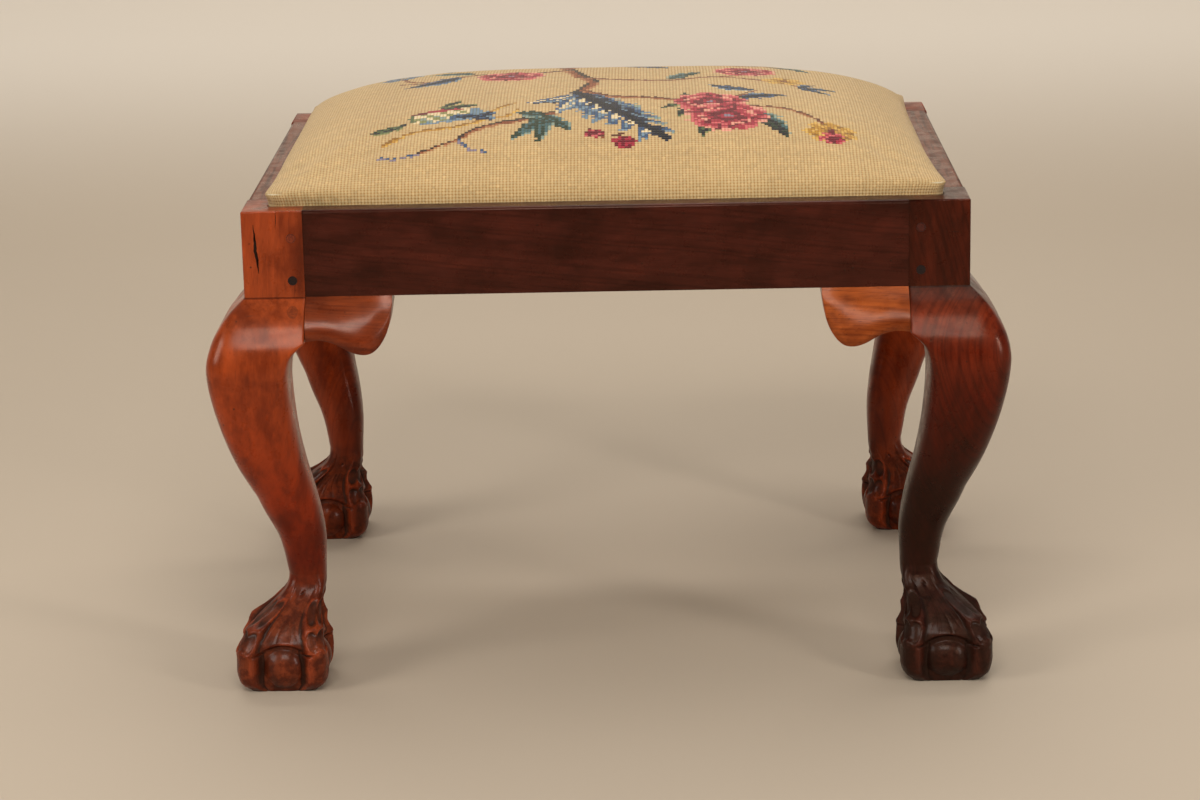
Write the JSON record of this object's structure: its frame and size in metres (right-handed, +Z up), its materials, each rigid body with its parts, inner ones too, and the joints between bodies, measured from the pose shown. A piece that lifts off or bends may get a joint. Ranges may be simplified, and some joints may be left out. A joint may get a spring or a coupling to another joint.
{
  "type": "footstool",
  "caption": "Rectangular footstool on cabriole legs with ball-and-claw feet, pegged mortise-and-tenon rails and a crowned needlepoint seat that drops into the frame.",
  "frame": {"origin": "on the floor under the middle of the stool", "axes": "+X to the right along the long rails as seen from the front, +Y towards the back, +Z up"},
  "size_m": [0.605, 0.485, 0.434],
  "materials": {
    "mahogany_red": "old orange-red mahogany under worn French polish",
    "mahogany_dark": "dark red-brown mahogany under worn French polish",
    "mahogany_pale": "paler straight-grained mahogany, satin",
    "mahogany_rail": "very dark red-brown mahogany, polished",
    "peg_wood": "dark end grain",
    "plain_timber": "unpolished secondary timber",
    "jute_webbing": "woven jute",
    "hessian_cloth": "open plain weave",
    "hair_stuffing": "curled hair and cotton felt",
    "calico_cloth": "unbleached plain weave",
    "needlepoint_cloth": "wool tent stitch on canvas",
    "blued_steel": "dull blued steel"
  },
  "bodies": {
    "stool_frame": {"leg_front_left": "mahogany_red", "leg_front_right": "mahogany_dark", "leg_back_left": "mahogany_red", "leg_back_right": "mahogany_dark", "knee_block_front_left_long": "mahogany_red", "knee_block_front_right_long": "mahogany_pale", "knee_block_back_left_long": "mahogany_red", "knee_block_back_right_long": "mahogany_pale", "knee_block_front_left_short": "mahogany_red", "knee_block_front_right_short": "mahogany_dark", "knee_block_back_left_short": "mahogany_red", "knee_block_back_right_short": "mahogany_dark", "front_rail": "mahogany_rail", "back_rail": "mahogany_rail", "left_rail": "mahogany_rail", "right_rail": "mahogany_rail", "pegs_front_left": "peg_wood", "pegs_front_right": "peg_wood", "pegs_back_left": "peg_wood", "pegs_back_right": "peg_wood", "corner_block_front_left": "plain_timber", "corner_block_front_right": "plain_timber", "corner_block_back_left": "plain_timber", "corner_block_back_right": "plain_timber", "corner_block_screws": "blued_steel"},
    "drop_in_seat": {"seat_frame_front": "plain_timber", "seat_frame_back": "plain_timber", "seat_frame_left": "plain_timber", "seat_frame_right": "plain_timber", "seat_frame_dowels": "plain_timber", "webbing_long": "jute_webbing", "webbing_cross": "jute_webbing", "webbing_tacks": "blued_steel", "hessian": "hessian_cloth", "stuffing_pad": "hair_stuffing", "calico_lining": "calico_cloth", "needlepoint_cover": "needlepoint_cloth", "cover_tacks": "blued_steel"}
  },
  "joints": [
    {"name": "seat_lift", "type": "slide", "parent": "stool_frame", "child": "drop_in_seat", "axis": [0, 0, 1], "range_m": [0, 0.08]}
  ]
}
